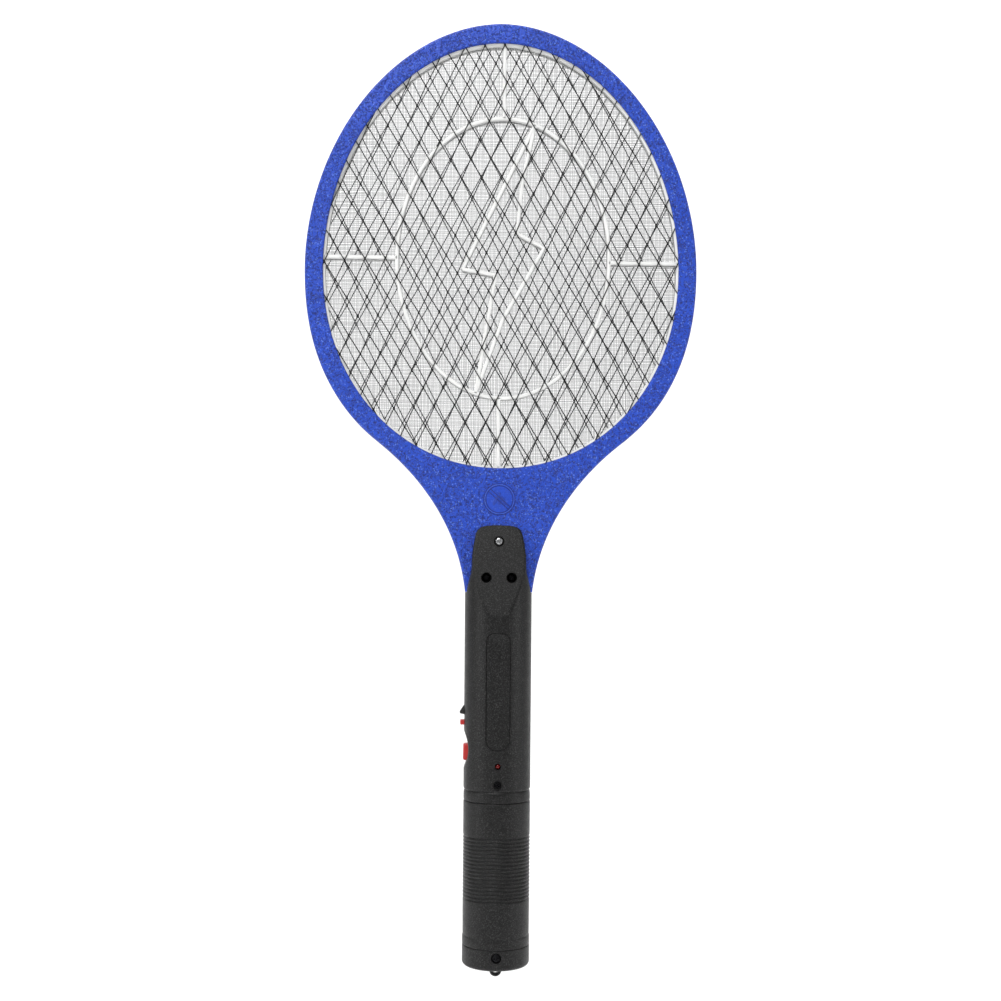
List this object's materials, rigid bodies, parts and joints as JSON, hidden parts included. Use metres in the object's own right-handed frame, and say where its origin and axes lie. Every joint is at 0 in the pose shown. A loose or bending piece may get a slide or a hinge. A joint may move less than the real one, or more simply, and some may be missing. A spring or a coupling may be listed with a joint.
{
  "type": "electric fly swatter",
  "caption": "Upright electric fly swatter: oval blue hoop with layered metal grids on a tapering neck, round charcoal battery handle with thumb pad, push button and slide switch.",
  "frame": {"origin": "on the handle's axis, at the lower end of the end cap's straight wall", "axes": "+Z along the handle towards the head, +Y from the front face to the rear face, -X towards the push button"},
  "size_m": [0.187, 0.0322, 0.455],
  "materials": {
    "head_blue": "fine leather grain, satin",
    "grid_wire": "dull, weathered wire",
    "mesh_wire": "bright fine wire",
    "spacer_white": "smooth satin",
    "handle_charcoal": "satin with light sheen",
    "screw_steel": "zinc plated",
    "cell_wrap": "shrink-wrapped can",
    "contact_nickel": "nickel plated",
    "carrier_black": "plain moulded",
    "lead_red": "soft insulation",
    "lead_black": "soft insulation",
    "board_phenolic": "phenolic paper board",
    "ferrite": "sintered, dull",
    "winding_tape": "tape over copper",
    "capacitor_epoxy": "dipped epoxy",
    "component_black": "moulded epoxy",
    "resistor_body": "lacquered body",
    "tinned_lead": "tinned copper",
    "led_red": "tinted clear epoxy",
    "plunger_white": "plain moulded",
    "switch_metal": "pressed steel shell",
    "control_red": "satin moulded"
  },
  "bodies": {
    "racket": {"front_frame": "head_blue", "rear_frame": "head_blue", "front_grid": "grid_wire", "rear_grid": "grid_wire", "center_grid": "mesh_wire", "front_spacer": "spacer_white", "rear_spacer": "spacer_white", "grid_lead_outer": "lead_black", "grid_lead_center": "lead_red", "handle_front": "handle_charcoal", "handle_rear": "handle_charcoal", "battery_tube": "handle_charcoal", "end_cap": "handle_charcoal", "neck_screws": "screw_steel", "shell_screw": "screw_steel", "cap_screw": "screw_steel", "battery_left": "cell_wrap", "battery_right": "cell_wrap", "cap_link_plate": "contact_nickel", "cap_springs": "contact_nickel", "contact_carrier": "carrier_black", "contact_positive": "contact_nickel", "contact_negative": "contact_nickel", "battery_lead_red": "lead_red", "battery_lead_black": "lead_black", "pcb": "board_phenolic", "transformer_core": "ferrite", "transformer_bobbin": "carrier_black", "transformer_winding": "winding_tape", "hv_capacitor": "capacitor_epoxy", "transistor": "component_black", "diodes": "component_black", "resistors": "resistor_body", "component_leads": "tinned_lead", "indicator_led": "led_red", "push_switch_body": "component_black", "slide_switch_body": "switch_metal"},
    "fire_button": {"fire_button": "control_red", "push_switch_plunger": "plunger_white"},
    "slide_knob": {"slide_knob": "control_red", "slide_switch_lever": "component_black"}
  },
  "joints": [
    {"name": "fire_button_press", "type": "slide", "parent": "racket", "child": "fire_button", "axis": [1, 0, 0], "range_m": [0, 0.0015], "stiffness_N_per_m": 800, "springref_m": -0.0008},
    {"name": "slide_switch_travel", "type": "slide", "parent": "racket", "child": "slide_knob", "axis": [0, 0, 1], "range_m": [0, 0.0023]}
  ]
}
